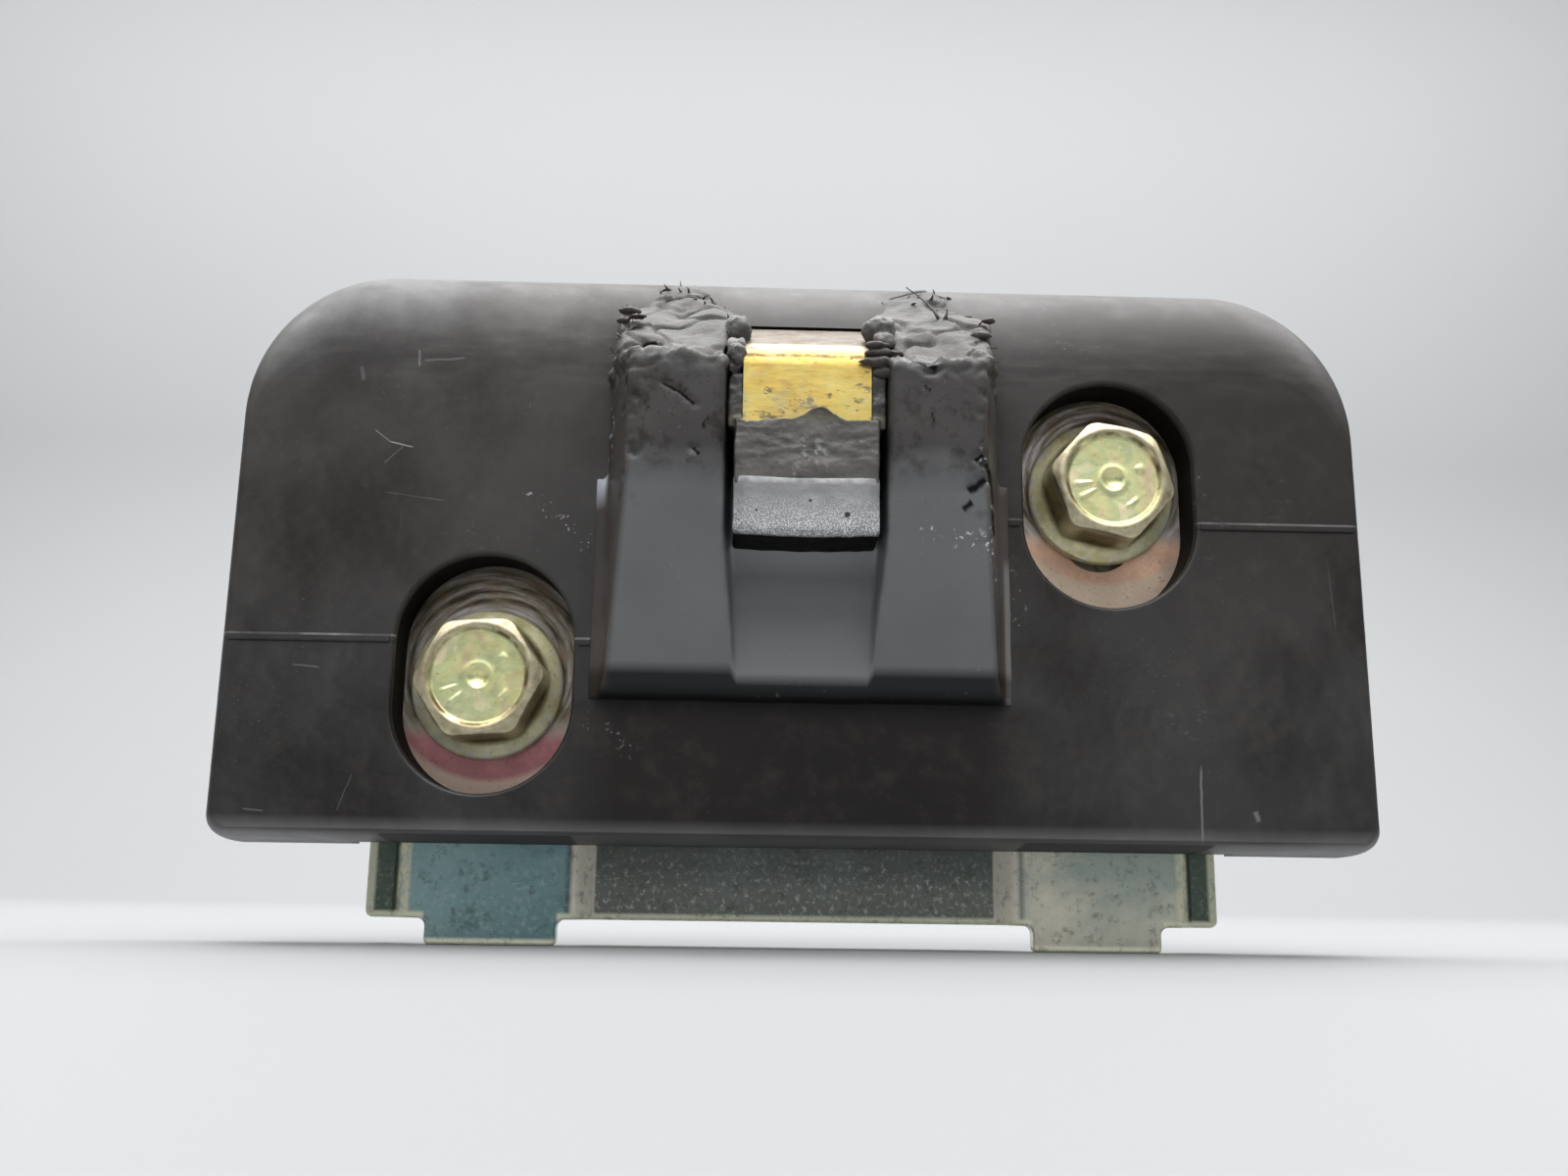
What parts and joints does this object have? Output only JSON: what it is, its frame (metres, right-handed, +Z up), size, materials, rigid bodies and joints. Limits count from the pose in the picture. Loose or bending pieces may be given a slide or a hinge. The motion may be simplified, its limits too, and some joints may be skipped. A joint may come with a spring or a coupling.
{
  "type": "boot lid lock striker",
  "caption": "Boot lid lock striker: moulded cover and guide block over a bent steel catch on a slotted plate, bolted to a pressed bracket.",
  "frame": {"origin": "on the bracket's rear mounting face, midway between the two bolts", "axes": "+X across the striker to the right as seen from the front, +Y from the front to the back along the bolts, +Z up"},
  "size_m": [0.1328, 0.0336, 0.0812],
  "materials": {
    "cover_plastic": "satin moulded",
    "block_rubber": "satin moulded rubber, torn at the top",
    "worn_pad": "polished by wear",
    "yellow_zinc_steel": "yellow chromated zinc",
    "zinc_plate": "worn zinc plate",
    "rivet_steel": "zinc plated",
    "spring_steel": "phosphated spring steel",
    "zinc_bracket": "iridescent zinc passivation",
    "nut_steel": "zinc plated",
    "bolt_zinc": "yellow-green chromated zinc"
  },
  "bodies": {
    "mounting": {"bracket": "zinc_bracket", "weld_nut_left": "nut_steel", "weld_nut_right": "nut_steel"},
    "striker": {"cover_shell": "cover_plastic", "guide_block": "block_rubber", "catch_sleeve": "block_rubber", "catch_pad": "worn_pad", "catch_strap": "yellow_zinc_steel", "base_plate": "zinc_plate", "strap_rivets": "rivet_steel", "push_retainers": "spring_steel"},
    "bolt_left": {"bolt_left": "bolt_zinc"},
    "bolt_right": {"bolt_right": "bolt_zinc"}
  },
  "joints": [
    {"name": "height_adjust", "type": "slide", "parent": "mounting", "child": "striker", "axis": [0, 0, 1], "range_m": [-0.002, 0.003]},
    {"name": "bolt_left_turn", "type": "hinge", "parent": "mounting", "child": "bolt_left", "pos_m": [-0.0359, -0.0071, -0.01215], "axis": [0, -1, 0], "continuous": true},
    {"name": "bolt_right_turn", "type": "hinge", "parent": "mounting", "child": "bolt_right", "pos_m": [0.0359, -0.0071, 0.01215], "axis": [0, -1, 0], "continuous": true}
  ]
}
